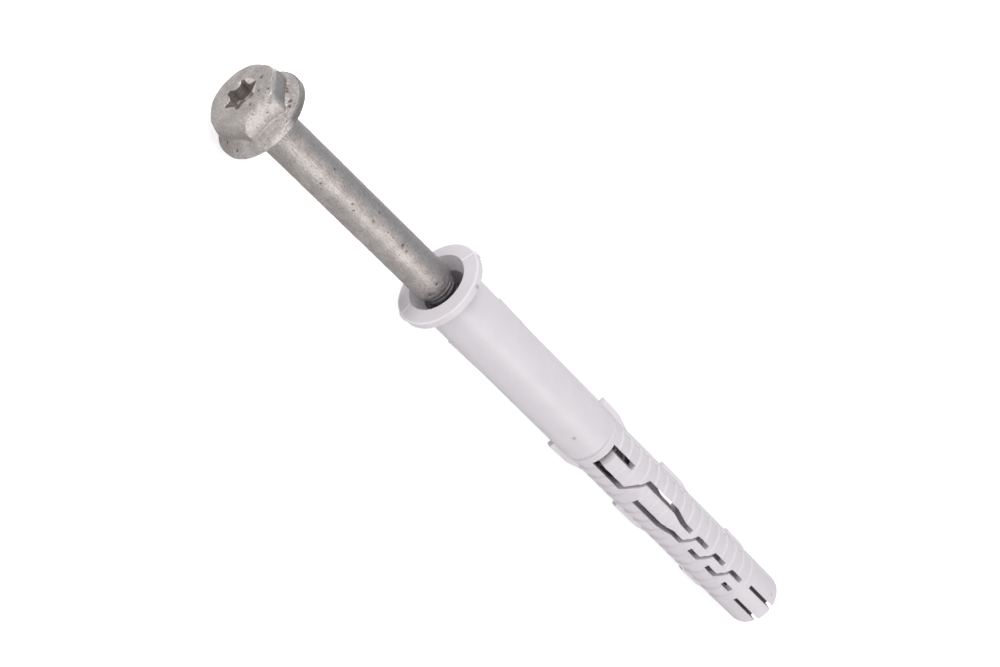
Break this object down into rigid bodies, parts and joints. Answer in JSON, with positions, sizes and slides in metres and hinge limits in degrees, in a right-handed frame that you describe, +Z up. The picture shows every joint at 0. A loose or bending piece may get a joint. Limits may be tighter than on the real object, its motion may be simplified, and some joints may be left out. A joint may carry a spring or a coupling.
{
  "type": "frame fixing",
  "caption": "Frame fixing: a hexagon-head flange screw with a six-lobe recess, pushed part of the way into a ribbed and slotted plastic expansion sleeve with a collar.",
  "frame": {"origin": "on the sleeve's axis, in the plane of the underside of its collar", "axes": "+X along the sleeve to its tip, the way it goes into the hole; +Z up, as it lies on a table on its flange, its collar and a key of the collar's rim; one slotted side faces -Y and 16.6 degrees up, the other +Y and down; the screw leans by half a degree, with its head at -X"},
  "size_m": [0.1746, 0.0179, 0.0185],
  "materials": {
    "galvanised_steel": "dull hot-dip galvanised coat with fine pits and grey patches",
    "sleeve_plastic": "pale grey moulded nylon, half matt"
  },
  "bodies": {
    "root": {"screw": "galvanised_steel", "sleeve": "sleeve_plastic"}
  },
  "joints": []
}
